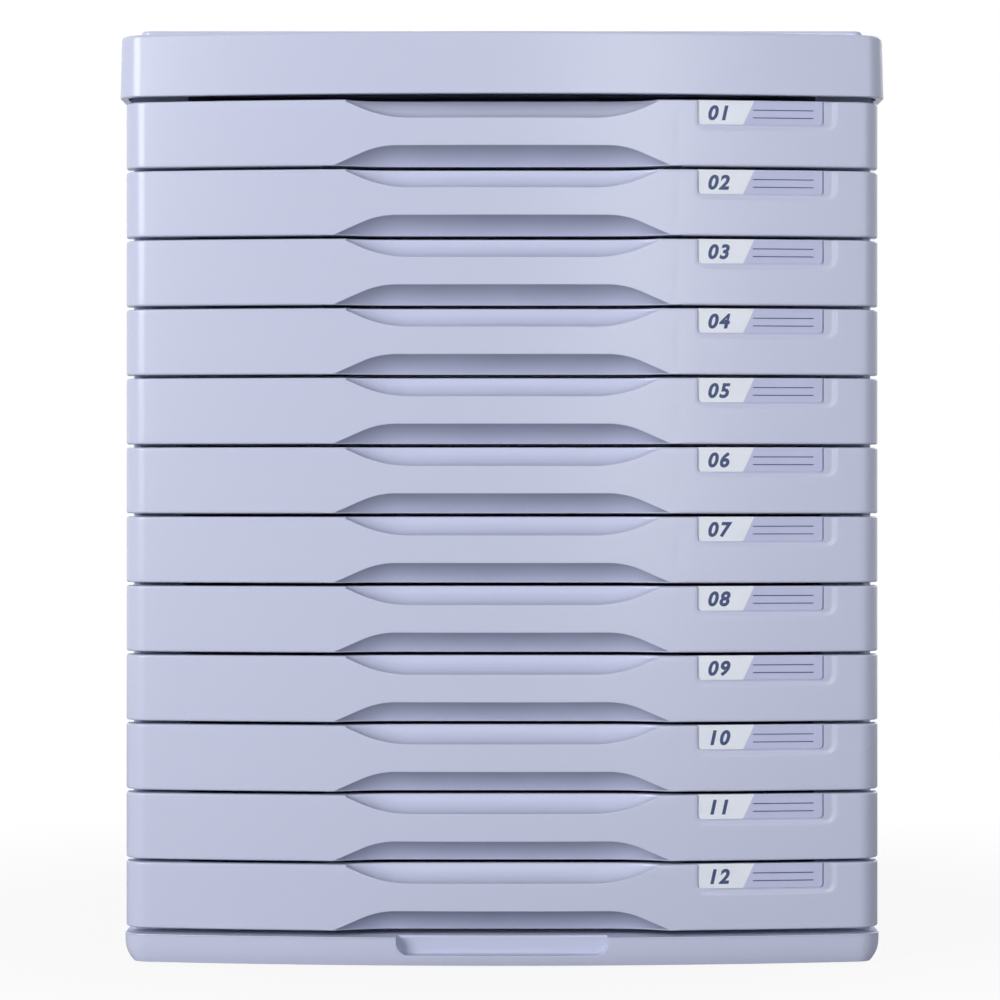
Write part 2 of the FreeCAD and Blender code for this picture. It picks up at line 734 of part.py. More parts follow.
os.makedirs("parts", exist_ok=True)
for piece in pieces:
    piece.Shape.exportStep(f"parts/{piece.Label}.step")
print(f"{len(pieces)} pieces written")
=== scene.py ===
import bmesh
import bpy
from math import asin, copysign, cos, hypot, pi, radians, sin, sqrt, tan
from mathutils import Matrix, Vector
from mathutils.geometry import tessellate_polygon


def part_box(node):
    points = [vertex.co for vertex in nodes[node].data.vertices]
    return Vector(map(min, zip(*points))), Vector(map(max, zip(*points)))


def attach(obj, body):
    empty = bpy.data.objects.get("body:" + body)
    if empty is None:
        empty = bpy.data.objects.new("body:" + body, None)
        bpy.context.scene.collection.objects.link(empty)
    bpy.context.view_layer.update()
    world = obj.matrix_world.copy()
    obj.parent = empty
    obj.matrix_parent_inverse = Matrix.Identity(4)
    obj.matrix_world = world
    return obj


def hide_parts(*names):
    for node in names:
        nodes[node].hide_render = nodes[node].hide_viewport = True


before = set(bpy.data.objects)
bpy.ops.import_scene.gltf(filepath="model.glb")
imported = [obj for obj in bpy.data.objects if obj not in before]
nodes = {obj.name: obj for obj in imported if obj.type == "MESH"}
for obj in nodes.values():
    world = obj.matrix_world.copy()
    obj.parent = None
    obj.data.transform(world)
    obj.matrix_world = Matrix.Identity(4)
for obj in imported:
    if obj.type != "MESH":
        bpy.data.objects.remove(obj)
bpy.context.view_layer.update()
drawerNumbers = sorted(name[-2:] for name in nodes if name.startswith("drawer_"))
mm = 0.001  # every length below is in millimetres
quarter = pi / 2
print("frame loaded,", len(nodes), "nodes")


# mesh tools

class Shape:  # points and faces collected patch by patch, in millimetres
    def __init__(self):
        self.points, self.faces = [], []

    def add(self, points, faces):
        start = len(self.points)
        self.points += [tuple(p) for p in points]
        self.faces += [[start + index for index in face] for face in faces]

    def grid(self, rows, closed=False):  # rows of points, each as long as the next
        width = len(rows[0])
        faces = []
        for r in range(len(rows) - 1):
            for c in range(width if closed else width - 1):
                d = (c + 1) % width
                faces.append([r * width + c, r * width + d, (r + 1) * width + d, (r + 1) * width + c])
        self.add([p for row in rows for p in row], faces)

    def fill(self, *loops):  # a flat face with its holes
        points = [Vector(p) for loop in loops for p in loop]
        triangles = tessellate_polygon([[Vector(p) for p in loop] for loop in loops])
        self.add(points, [list(t) for t in triangles])

    def block(self, low, high):
        (x0, y0, z0), (x1, y1, z1) = low, high
        points = [(x, y, z) for z in (z0, z1) for y in (y0, y1) for x in (x0, x1)]
        self.add(points, [(0, 2, 3, 1), (4, 5, 7, 6), (0, 1, 5, 4), (2, 6, 7, 3), (0, 4, 6, 2), (1, 3, 7, 5)])

    def prism(self, loop, low, high, holes=()):
        for outline in (loop, *holes):
            self.grid([[(x, y, z) for x, y in outline] for z in (low, high)], closed=True)
        for z in (low, high):
            self.fill(*[[(x, y, z) for x, y in outline] for outline in (loop, *holes)])

    def mesh(self, name, sharp=32.0):
        made = bpy.data.meshes.new(name)
        made.from_pydata([Vector(p) * mm for p in self.points], [], self.faces)
        work = bmesh.new()
        work.from_mesh(made)
        bmesh.ops.remove_doubles(work, verts=work.verts, dist=0.003 * mm)
        bmesh.ops.dissolve_degenerate(work, edges=work.edges, dist=0.002 * mm)
        bmesh.ops.recalc_face_normals(work, faces=work.faces)
        work.to_mesh(made)
        work.free()
        made.polygons.foreach_set("use_smooth", [True] * len(made.polygons))
        made.set_sharp_from_angle(angle=radians(sharp))
        return weighted(made)


def newObject(name, data):
    made = bpy.data.objects.new(name, data)
    bpy.context.scene.collection.objects.link(made)
    return made


def nodeBox(node):  # low and high corner of a node, in millimetres
    return [Vector(corner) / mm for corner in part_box(node)]


def weighted(mesh):  # large flat faces keep their own normal beside a small rounding
    holder = newObject("holder", mesh)
    holder.modifiers.new("normals", "WEIGHTED_NORMAL").keep_sharp = True
    graph = bpy.context.evaluated_depsgraph_get()
    evaluated = holder.evaluated_get(graph)
    result = bpy.data.meshes.new_from_object(evaluated, preserve_all_data_layers=True, depsgraph=graph)
    result.name = mesh.name
    bpy.data.objects.remove(holder)
    return result


def place(name, mesh, body, material, at=(0, 0, 0), turn=0.0, stands=()):
    piece = newObject(name, mesh)
    piece.matrix_world = Matrix.Translation(Vector(at) * mm) @ Matrix.Rotation(turn, 4, "Z")
    if not mesh.materials:
        mesh.materials.append(material)
    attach(piece, body)
    if stands:
        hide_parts(*stands)
    return piece


def withoutDoubles(ring):
    return [p for i, p in enumerate(ring) if (Vector(p) - Vector(ring[i - 1])).length > 1e-6]


def offsetLoop(loop, distance):  # a closed plan moved to its left, corners kept
    moved = []
    for i, here in enumerate(loop):
        before, after = Vector(loop[i - 1]), Vector(loop[(i + 1) % len(loop)])
        a = (Vector(here) - before).normalized()
        b = (after - Vector(here)).normalized()
        na, nb = Vector((-a.y, a.x)), Vector((-b.y, b.x))
        moved.append(tuple(Vector(here) + (na + nb) * (distance / (1 + na.dot(nb)))))
    return moved


def smooth(value):
    value = min(max(value, 0.0), 1.0)
    return value * value * (3 - 2 * value)


def spread(low, high, count):
    return [low + (high - low) * i / (count - 1) for i in range(count)]


# materials

def srgb(red, green, blue, alpha=1.0):
    def linear(v):
        v /= 255
        return v / 12.92 if v <= 0.04045 else ((v + 0.055) / 1.055) ** 2.4
    return (linear(red), linear(green), linear(blue), alpha)


def newGroup(name, inputs, outputs):
    tree = bpy.data.node_groups.new(name, "ShaderNodeTree")
    for label, kind, value in inputs:
        socket = tree.interface.new_socket(name=label, in_out="INPUT", socket_type=kind)
        socket.default_value = value
    for label, kind in outputs:
        tree.interface.new_socket(name=label, in_out="OUTPUT", socket_type=kind)
    return tree, tree.nodes.new("NodeGroupInput"), tree.nodes.new("NodeGroupOutput")


def addNode(tree, kind, links=(), **values):
    node = tree.nodes.new(kind)
    for key, value in values.items():
        setattr(node, key, value)
    for socket, source in dict(links).items():
        target = node.inputs[socket]
        if isinstance(source, bpy.types.NodeSocket):
            tree.links.new(source, target)
        else:
            target.default_value = source
    return node


def maths(tree, operation, *values):
    return addNode(tree, "ShaderNodeMath", enumerate(values), operation=operation).outputs[0]


def mapped(tree, value, low, high, toLow=0.0, toHigh=1.0, kind="LINEAR"):
    links = {"Value": value, "From Min": low, "From Max": high, "To Min": toLow, "To Max": toHigh}
    return addNode(tree, "ShaderNodeMapRange", links, interpolation_type=kind).outputs[0]


def noise(tree, where, scale, detail=0.0):
    return addNode(tree, "ShaderNodeTexNoise", {"Vector": where, "Scale": scale, "Detail": detail}).outputs[0]


def blended(tree, share, first, second):
    return addNode(tree, "ShaderNodeMix", {"Factor": share, 6: first, 7: second}, data_type="RGBA").outputs[2]


def patternPlace(tree):  # the piece's own coordinates, shifted from piece to piece
    spot = addNode(tree, "ShaderNodeTexCoord").outputs["Object"]
    random = addNode(tree, "ShaderNodeObjectInfo").outputs["Random"]
    links = {0: (3.1, 5.7, 2.3), "Scale": random}
    shift = addNode(tree, "ShaderNodeVectorMath", links, operation="SCALE").outputs[0]
    return addNode(tree, "ShaderNodeVectorMath", {0: spot, 1: shift}).outputs[0]


def makeMottle():  # slow changes of tone and gloss, as the melt flowed and as hands have touched it
    tree, source, result = newGroup(
        "mottle",
        [("Colour", "NodeSocketColor", (0.5, 0.5, 0.5, 1)), ("Scale", "NodeSocketFloat", 12.0),
         ("Amount", "NodeSocketFloat", 0.03), ("Gloss", "NodeSocketFloat", 0.35),
         ("Gloss Change", "NodeSocketFloat", 0.05)],
        [("Colour", "NodeSocketColor"), ("Roughness", "NodeSocketFloat")])
    given = source.outputs
    where = patternPlace(tree)
    centred = maths(tree, "SUBTRACT", noise(tree, where, given["Scale"]), 0.5)
    bright = maths(tree, "ADD", maths(tree, "MULTIPLY", centred, given["Amount"]), 1.0)
    mixed = addNode(tree, "ShaderNodeVectorMath", {0: given["Colour"], "Scale": bright}, operation="SCALE")
    tree.links.new(mixed.outputs[0], result.inputs["Colour"])
    offset = maths(tree, "SUBTRACT", noise(tree, where, 16.0), 0.5)
    rough = maths(tree, "ADD", maths(tree, "MULTIPLY", offset, given["Gloss Change"]), given["Gloss"])
    tree.links.new(rough, result.inputs["Roughness"])
    return tree


def makeGrain():  # the fine texture that a mould leaves on plastic
    tree, source, result = newGroup(
        "mouldGrain",
        [("Scale", "NodeSocketFloat", 1500.0), ("Waviness", "NodeSocketFloat", 0.4)],
        [("Height", "NodeSocketFloat")])
    where = patternPlace(tree)
    fine = noise(tree, where, source.outputs["Scale"], 2.0)
    total = maths(tree, "MULTIPLY_ADD", noise(tree, where, 60.0, 1.0), source.outputs["Waviness"], fine)
    tree.links.new(total, result.inputs["Height"])
    return tree


def makeDust():  # a trace of dust on faces that look up, which also dulls their gloss
    tree, source, result = newGroup(
        "restingDust",
        [("Colour", "NodeSocketColor", (0.5, 0.5, 0.5, 1)), ("Dust", "NodeSocketColor", (0.6, 0.58, 0.55, 1)),
         ("Amount", "NodeSocketFloat", 0.1), ("Gloss", "NodeSocketFloat", 0.35),
         ("Dulling", "NodeSocketFloat", 0.3)],
        [("Colour", "NodeSocketColor"), ("Roughness", "NodeSocketFloat")])
    given = source.outputs
    normal = addNode(tree, "ShaderNodeTexCoord").outputs["Normal"]
    up = addNode(tree, "ShaderNodeSeparateXYZ", {0: normal}).outputs["Z"]
    even = mapped(tree, noise(tree, patternPlace(tree), 12.0), 0.0, 1.0, 0.85, 1.0)
    cover = maths(tree, "MULTIPLY", mapped(tree, up, 0.6, 1.0), even)
    share = maths(tree, "MULTIPLY", cover, given["Amount"])
    tree.links.new(blended(tree, share, given["Colour"], given["Dust"]), result.inputs["Colour"])
    rough = maths(tree, "MULTIPLY_ADD", cover, given["Dulling"], given["Gloss"])
    tree.links.new(rough, result.inputs["Roughness"])
    return tree


def makePaintedShade():  # painted shade: a slightly darker colour on the walls that face down at the front of the drawer, inside the scoops
    tree, source, result = newGroup(
        "handling",
        [("Colour", "NodeSocketColor", (0.5, 0.5, 0.5, 1)), ("Bloom", "NodeSocketColor", (0.3, 0.3, 0.36, 1)),
         ("Amount", "NodeSocketFloat", 0.3), ("Half Width", "NodeSocketFloat", 0.07),
         ("Rear", "NodeSocketFloat", -0.15)],
        [("Colour", "NodeSocketColor"), ("Mask", "NodeSocketFloat")])
    given = source.outputs
    coordinates = addNode(tree, "ShaderNodeTexCoord").outputs
    spot = addNode(tree, "ShaderNodeSeparateXYZ", {0: coordinates["Object"]}).outputs
    down = addNode(tree, "ShaderNodeSeparateXYZ", {0: coordinates["Normal"]}).outputs["Z"]
    inside = maths(tree, "LESS_THAN", maths(tree, "ABSOLUTE", spot["X"]), given["Half Width"])
    where = maths(tree, "MULTIPLY", inside, maths(tree, "LESS_THAN", spot["Y"], given["Rear"]))
    uneven = mapped(tree, noise(tree, patternPlace(tree), 35.0, 2.0), 0.0, 1.0, 0.8, 1.2)
    mask = maths(tree, "MULTIPLY", maths(tree, "MULTIPLY", where, mapped(tree, down, -0.3, -0.95)), uneven)
    share = maths(tree, "MULTIPLY", mask, given["Amount"])
    tree.links.new(blended(tree, share, given["Colour"], given["Bloom"]), result.inputs["Colour"])
    tree.links.new(mask, result.inputs["Mask"])
    return tree


mottleGroup, grainGroup, dustGroup, paintedShadeGroup = makeMottle(), makeGrain(), makeDust(), makePaintedShade()


def newMaterial(name):
    made = bpy.data.materials.new(name)
    made.use_nodes = True
    return made, made.node_tree, made.node_tree.nodes["Principled BSDF"]


def plastic(name, look):
    made, tree, shader = newMaterial(name)
    mottle = addNode(tree, "ShaderNodeGroup", {
        "Colour": look["colour"], "Scale": look["mottleScale"], "Amount": look["mottle"],
        "Gloss": look["roughness"], "Gloss Change": look["smear"]}, node_tree=mottleGroup)
    dust = addNode(tree, "ShaderNodeGroup", {
        "Colour": mottle.outputs["Colour"], "Dust": look["dustColour"], "Amount": look["dust"],
        "Gloss": mottle.outputs["Roughness"], "Dulling": look["dulling"]}, node_tree=dustGroup)
    tree.links.new(dust.outputs["Roughness"], shader.inputs["Roughness"])
    colour = dust.outputs["Colour"]
    # painted shade: a darker colour on the scoops' down-facing walls, for looks that give one
    if "bloom" in look:
        handling = addNode(tree, "ShaderNodeGroup", {
            "Colour": colour, "Bloom": look["bloom"], "Amount": look["bloomAmount"]}, node_tree=paintedShadeGroup)
        colour = handling.outputs["Colour"]
    tree.links.new(colour, shader.inputs["Base Color"])
    grain = addNode(tree, "ShaderNodeGroup", {
        "Scale": look["grainScale"], "Waviness": look["waviness"]}, node_tree=grainGroup)
    bump = addNode(tree, "ShaderNodeBump", {
        "Height": grain.outputs["Height"], "Strength": look["grain"], "Distance": 0.00002})
    tree.links.new(bump.outputs[0], shader.inputs["Normal"])
    shader.inputs["IOR"].default_value = look["ior"]
    return made


plasticLook = {
    "colour": srgb(199, 204, 228), "mottleScale": 9.0, "mottle": 0.008, "roughness": 0.27, "smear": 0.012,
    "dustColour": srgb(190, 188, 192), "dust": 0.08, "dulling": 0.25,
    "grainScale": 1400.0, "grain": 0.18, "waviness": 0.35, "ior": 1.5,
}
# the drawers get painted shade, a darker blue grey, on the down-facing walls of their scoops
drawerPlastic = plastic("drawerPlastic", {**plasticLook, "bloom": srgb(100, 108, 134), "bloomAmount": 0.6})
coverPlastic = plastic("coverPlastic", {**plasticLook, "mottleScale": 7.0})
framePlastic = plastic("framePlastic", {
    **plasticLook, "colour": srgb(178, 184, 208), "roughness": 0.45, "dust": 0.2})
rubber = plastic("footRubber", {
    **plasticLook, "colour": srgb(38, 38, 41), "roughness": 0.75,
    "dustColour": srgb(120, 118, 116), "dust": 0.3, "grainScale": 900.0, "grain": 0.5, "ior": 1.45,
})
windowLook = {
    **plasticLook, "colour": srgb(200, 204, 220), "roughness": 0.1, "smear": 0.1, "dust": 0.02, "alpha": 0.04,
}


def clearWindow():
    made = plastic("clearWindow", windowLook)
    made.node_tree.nodes["Principled BSDF"].inputs["Alpha"].default_value = windowLook["alpha"]
    return made


cardLook = {
    "white": srgb(243, 247, 255), "tint": srgb(198, 202, 232),
    "splitTop": -2.4, "splitLow": -6.9, "softness": 0.25,  # where white meets tint, from the card's middle
    "paperScale": 900.0, "paperBump": 0.25,
    "mottleScale": 160.0, "mottle": 0.05, "roughness": 0.7, "smear": 0.1,
}


def printedCard():
    made, tree, shader = newMaterial("labelCard")
    spot = addNode(tree, "ShaderNodeTexCoord").outputs["Object"]
    parts = addNode(tree, "ShaderNodeSeparateXYZ", {0: spot}).outputs
    lean = (cardLook["splitTop"] - cardLook["splitLow"]) / labelPart["height"]
    line = maths(tree, "MULTIPLY_ADD", parts["Z"], -lean, parts["X"])
    low, soft = cardLook["splitLow"] * mm, cardLook["softness"] * mm
    side = mapped(tree, line, low - soft, low + soft)
    mottle = addNode(tree, "ShaderNodeGroup", {
        "Colour": blended(tree, side, cardLook["white"], cardLook["tint"]), "Scale": cardLook["mottleScale"],
        "Amount": cardLook["mottle"], "Gloss": cardLook["roughness"], "Gloss Change": cardLook["smear"],
    }, node_tree=mottleGroup)
    tree.links.new(mottle.outputs["Colour"], shader.inputs["Base Color"])
    tree.links.new(mottle.outputs["Roughness"], shader.inputs["Roughness"])
    fibre = addNode(tree, "ShaderNodeGroup", {"Scale": cardLook["paperScale"]}, node_tree=grainGroup)
    bump = addNode(tree, "ShaderNodeBump", {
        "Height": fibre.outputs["Height"], "Strength": cardLook["paperBump"], "Distance": 0.00003})
    tree.links.new(bump.outputs[0], shader.inputs["Normal"])
    return made


ink = plastic("printingInk", {
    **plasticLook, "colour": srgb(22, 54, 106), "mottleScale": 300.0, "mottle": 0.2,
    "roughness": 0.5, "dust": 0.0,
})
print("materials made")


# drawers

facePart = {
    "low": 0.65, "high": 26.35,     # edges of a face above the foot of its frame
    "bow": 12.0, "corner": 10.0, "depth": 23.0,
    "edge": 0.8, "tipEdge": 0.4,    # rounding of the upper and lower edges, and at the lower scoop
    "wall": 4.0, "wingWall": 2.2,
}
scoopPart = {
    "slope": radians(23.7),
    "lowerWaist": 48.0, "lowerBend": 33.0,  # half width where slope and level line meet, and its rounding
    "upperWaist": 46.0, "upperBend": 50.0,
    "lower": 7.7, "upper": 7.1, "depth": 8.5,
    "lowerTilts": (radians(66), radians(30)),  # of the wall, at the rim and at the edge
    "upperTilts": (radians(88), radians(10)),
    "rim": 0.4, "rimShare": 0.25, "rows": 16,
    "wall": 2.4, "side": 4.5,
}
boxPart = {"reach": 23.0, "wall": 2.0, "floorLow": 1.9, "floor": 1.6, "topEdge": 0.4, "inside": 1.2}
labelPart = {
    "left": 76.0, "right": 125.5, "height": 9.5, "inset": 0.55, "window": 0.4, "card": 1.05, "corner": 1.4,
    "dishLeft": 75.0, "dishRight": 131.0, "dishLow": 14.2, "dishCorner": 5.0,
    "leftRamp": 1.0, "lowRamp": 9.0, "ramp": 2.3, "notch": 0.35, "lowNotch": 0.3,
}

lowest, highest = nodeBox("drawer_12")
faceSide, faceFront, boxRear = highest.x, lowest.y, highest.y
faceRear = faceFront + facePart["depth"]
bowRadius = (faceSide**2 + facePart["bow"]**2) / (2 * facePart["bow"])
boxSide = faceSide - boxPart["reach"]
wellSide = boxSide - boxPart["wall"]
labelMiddle = (labelPart["left"] + labelPart["right"]) / 2
labelTurn = asin(labelMiddle / bowRadius)


def bowDepth(x, radius=None):  # the face's line, or one inside it, behind the middle of the face
    radius = radius or bowRadius
    return bowRadius - sqrt(radius**2 - x * x)


def scoopEdge(x, scoop):  # height of a scoop's edge over the face's edge, and its slope
    x, slope, height = abs(x), scoopPart["slope"], scoopPart[scoop]
    waist, bend = scoopPart[scoop + "Waist"], scoopPart[scoop + "Bend"]
    start = waist - bend * tan(slope / 2)
    if x <= start:
        return height, 0.0
    if x <= start + bend * sin(slope):
        angle = asin((x - start) / bend)
        return height - bend * (1 - cos(angle)), angle
    return height - (x - waist) * tan(slope), slope


def lowerEdge(x):  # the rounding under a face gets finer where the lower scoop runs out
    share = smooth((abs(x) - 67.0) / 6.0)
    return facePart["tipEdge"] + (facePart["edge"] - facePart["tipEdge"]) * share


def scoopRows(x, scoop, edge):
    # heights over the face's edge and depths, from the land to the edge; the wall is an arc
    # whose slope runs from one tilt at the rim to another at the edge
    start, end = scoopPart[scoop + "Tilts"]
    height = scoopPart[scoop]
    rim, rimShare, count = scoopPart["rim"], scoopPart["rimShare"], scoopPart["rows"]
    top, slope = scoopEdge(x, scoop)
    room = (top - edge) * cos(slope)
    swing = sin(end) - sin(start)
    lead = rim * sin(start)
    if room <= -lead:
        last = 0.0
    elif room < 0:
        last = rimShare * asin((room + lead) / rim) / start
    else:
        final = asin(sin(start) + min(room / height, 1) * swing)
        last = rimShare + (1 - rimShare) * (start - final) / (start - end)
    lip = rim * (1 - cos(start))
    deep = scoopPart["depth"] - bowDepth(x) - lip
    rows = []
    for k in range(count + 1):
        share = last * k / count
        if share < rimShare:
            angle = share / rimShare * start
            distance, depth = rim * sin(angle) - lead, rim * (1 - cos(angle))
        else:
            angle = start - (share - rimShare) / (1 - rimShare) * (start - end)
            distance = height * (sin(angle) - sin(start)) / swing
            depth = lip + deep * (cos(angle) - cos(start)) / (cos(end) - cos(start))
        rows.append((max(top - distance / cos(slope), edge), depth if last else 0.0))
    return rows


def planeDepth(x):  # how far the label's flat plane lies behind the bowed face
    return labelPart["inset"] - (x - labelMiddle) ** 2 / (2 * bowRadius)


def dishDepth(x, z):  # the shallow dish round the label, open at the top
    if not labelPart["dishLeft"] < x < labelPart["dishRight"] or z < labelPart["dishLow"]:
        return 0.0
    size = labelPart["dishCorner"]
    across = max(0.0, 1 - (labelPart["dishRight"] - x) / size)
    down = max(0.0, 1 - (z - labelPart["dishLow"]) / size)
    inside = size * (1 - hypot(across, down))
    below = labelPart["lowNotch"] * smooth((labelLow - z) / 0.8)
    notch = max(labelPart["notch"] * smooth((x - labelPart["right"]) / 3.5), below)
    leftRamp = labelPart["leftRamp"] + labelPart["lowRamp"] * smooth((labelLow - z) / 0.5)
    fade = smooth(inside / labelPart["ramp"]) * smooth((x - labelPart["dishLeft"]) / leftRamp)
    return fade * (planeDepth(x) + notch)


def sinkDepth(x, z):  # a faint sink mark in front of the end of each scoop's wall
    across = (x - 68.6) / 2.2
    along = (z - 13.0) / 8.5
    return 0.05 * max(0.0, 1 - across * across) * max(0.0, 1 - along * along)


labelLow = facePart["high"] - labelPart["height"]
landLevels = [facePart["low"] + facePart["edge"], 4.0, 7.0, 10.0, 12.5]
landLevels += spread(14.0, labelLow, 8) + [labelLow]
landLevels += [17.5, 18.4, 20.0, 22.0, 24.0, facePart["high"] - facePart["edge"]]
stepRow = landLevels.index(labelLow) + 1  # from this level on, the card's pocket lies behind the dish


def faceColumn(x, y, inward, pocket=False):
    low, high, edge = facePart["low"], facePart["high"], facePart["edge"]
    arc = [quarter * k / 5 for k in range(6)]
    under = lowerEdge(x)
    lower = scoopRows(x, "lower", under)
    upper = scoopRows(x, "upper", edge)
    bottom, top = low + lower[0][0], high - upper[0][0]
    column = []

    def put(z, depth, inset=0.0):
        column.append((x + inward[0] * inset, y + inward[1] * inset + depth, z))

    for angle in reversed(arc):
        put(low + under * (1 - sin(angle)), lower[-1][1], under * (1 - cos(angle)))
    for height, depth in reversed(lower[1:-1]):
        put(low + height, depth)
    first, last = landLevels[0], landLevels[-1]
    for row, level in enumerate(landLevels):
        z = bottom + (top - bottom) * (level - first) / (last - first)
        depth = 0.0
        if x > scoopPart["lowerWaist"] + 14:
            depth = dishDepth(x, z) + sinkDepth(x, z)
        if pocket:
            size = labelPart["corner"]
            near = min(x - labelPart["left"], labelPart["right"] - x)
            lift = size - sqrt(size**2 - (size - near) ** 2) if near < size else 0.0
            if row in (stepRow - 1, stepRow):
                z += lift
            elif row > stepRow:
                z = max(z, labelLow + lift)
            if row >= stepRow:
                depth = planeDepth(x) + labelPart["window"] + labelPart["card"]
            else:
                depth = dishDepth(x, z)
        put(z, depth)
    edgeDepth = column[-1][1] - y
    for height, depth in upper[1:-1]:
        put(high - height, depth if not pocket and upper[-1][1] else edgeDepth)
    edgeDepth = upper[-1][1] or edgeDepth
    for angle in arc:
        if pocket:
            put(high, edgeDepth)
        else:
            put(high - edge * (1 - sin(angle)), edgeDepth, edge * (1 - cos(angle)))
    return column


def faceStations():  # plan points from the rear of the left return round to the rear of the right one
    corner = facePart["corner"]
    middle = faceSide - corner
    turn = asin(middle / (bowRadius - corner))
    centreDepth = faceFront + bowRadius - sqrt((bowRadius - corner) ** 2 - middle**2)
    centre = spread(0, 30, 6) + [33, 35] + spread(36, 56, 21)
    tip = spread(56.5, 67.0, 43)
    left = sorted(set(centre + tip + [68, 71, 75, 80, 88, 96, 104, 112, 120, 126, 131, 134]))
    sink = [67.6, 68.2, 68.8, 69.4, 70, 70.8, 72]
    right = sorted(set(centre + tip + sink + [74, 74.8, 75, 75.25, 75.5, 75.75, 76]))
    pocketXs = [76, 76.1, 76.3, 76.6, 77, 77.4, 80, 85, 90, 95, 100, 105, 110, 115, 120]
    pocketXs += [124.1, 124.5, 124.9, 125.2, 125.4, 125.5]
    beyond = [125.5, 126, 126.5, 127, 127.5, 128, 128.5, 129, 129.5, 130, 130.5, 131, 131.5, 133]
    stations = []

    def arcPoint(x, pocket=False):
        angle = asin(x / bowRadius)
        stations.append((x, faceFront + bowDepth(x), (-sin(angle), cos(angle)), pocket))

    def cornerPoint(angle, side):
        x, y = middle + corner * sin(angle), centreDepth - corner * cos(angle)
        stations.append((side * x, y, (-side * sin(angle), cos(angle)), False))

    stations.append((-faceSide, faceRear, (1.0, 0.0), False))
    angles = spread(turn, quarter, 13)
    for angle in reversed(angles):
        cornerPoint(angle, -1)
    for x in reversed(left):
        if x:
            arcPoint(-x)
    for x in right:
        arcPoint(x)
    for x in pocketXs:
        arcPoint(x, True)
    for x in beyond:
        arcPoint(x)
    for angle in angles:
        cornerPoint(angle, 1)
    stations.append((faceSide, faceRear, (-1.0, 0.0), False))
    return stations


def wellPlan():  # the inside of the box, anticlockwise from its rear right corner
    shoulder = scoopEdgeEnd() + scoopPart["side"]
    inner = bowRadius - facePart["wall"]
    back = boxRear - boxPart["wall"]
    arc = [(x, faceFront + bowDepth(x, inner)) for x in spread(shoulder, wellSide, 9)]
    front = (shoulder, faceFront + scoopPart["depth"] + scoopPart["wall"])
    right = [(wellSide, back)] + [(x, y) for x, y in reversed(arc)] + [front]
    left = [(-x, y) for x, y in reversed(right)]
    return right + left


def scoopEdgeEnd():
    return scoopPart["lowerWaist"] + scoopPart["lower"] / tan(scoopPart["slope"])


def drawerMesh():
    shape = Shape()
    low, high = facePart["low"], facePart["high"]
    floorLow, wing = boxPart["floorLow"], facePart["wingWall"]
    floorHigh = floorLow + boxPart["floor"]
    columns = [faceColumn(*station) for station in faceStations()]
    shape.grid(columns)
    bottomLine = [column[0] for column in columns]
    topLine = [column[-1] for column in columns]

    small = boxPart["topEdge"]
    arc = [quarter * k / 3 for k in range(4)]
    plan = wellPlan()
    inside = boxPart["inside"]
    rows = []
    for angle in [quarter * k / 4 for k in range(5)]:  # fillet of the floor
        loop = offsetLoop(plan, inside * (1 - sin(angle)) if angle < quarter else 0.0)
        rows.append([(x, y, floorHigh + inside * (1 - cos(angle))) for x, y in loop])
    shape.fill(rows[0])
    for angle in arc:
        loop = offsetLoop(plan, -small * (1 - cos(angle)))
        rows.append([(x, y, high - small * (1 - sin(angle))) for x, y in loop])
    shape.grid(rows, closed=True)
    hole = rows[-1]

    rear = boxRear
    path = [(boxSide, faceRear, 1, 0), (boxSide, rear, 1, 1)]
    path += [(-boxSide, rear, -1, 1), (-boxSide, faceRear, -1, 0)]
    levels = [(z, 0.0) for z in (floorLow, low + wing, high - wing)]
    levels += [(high - small * (1 - sin(a)), small * (1 - cos(a))) for a in arc]
    shape.grid([[(x - sx * inset, y - sy * inset, z) for x, y, sx, sy in path] for z, inset in levels])
    shape.fill([(x, y, floorLow) for x, y, sx, sy in path])
    ends = [(-boxSide, low), (boxSide, low), (boxSide, floorLow), (-boxSide, floorLow)]
    shape.fill([(x, faceRear, z) for x, z in ends])
    rim = [(x - sx * small, y - sy * small, high) for x, y, sx, sy in path]
    shape.fill(topLine + rim, hole)
    shape.fill(bottomLine + [(boxSide, faceRear, low), (-boxSide, faceRear, low)])

    corner = facePart["corner"]
    middle = faceSide - corner
    inner = bowRadius - wing
    turn = asin(middle / (bowRadius - corner))
    front = [(x, faceFront + bowDepth(x, inner)) for x in spread(boxSide, inner * sin(turn), 5)]
    centre = faceFront + bowRadius - sqrt((bowRadius - corner) ** 2 - middle**2)
    size = corner - wing
    front += [(middle + size * sin(a), centre - size * cos(a)) for a in spread(turn, quarter, 7)[1:]]
    front += [(faceSide - wing, faceRear)]
    for side, column in ((1, columns[-1]), (-1, columns[0])):
        walls = [(side * boxSide, faceRear)] + [(side * x, y) for x, y in front]
        for z in (low + wing, high - wing):
            shape.fill([(x, y, z) for x, y in walls])
        shape.grid([[(x, y, z) for x, y in walls] for z in (low + wing, high - wing)])
        end = [(side * (boxSide - inset), faceRear, z) for z, inset in reversed(levels)]
        wingSide = faceSide - wing
        turns = [(boxSide, high - wing), (wingSide, high - wing)]
        turns += [(wingSide, low + wing), (boxSide, low + wing), (boxSide, floorLow), (boxSide, low)]
        ring = list(column) + end[:-2] + [(side * x, faceRear, z) for x, z in turns]
        shape.fill(withoutDoubles(ring))
    stopBlocks(shape)
    return shape.mesh("drawerMesh")


stopPart = {"spacing": 160.0, "width": 12.0, "front": 95.8, "ramp": 8.0, "height": 1.2, "sunk": 0.5}


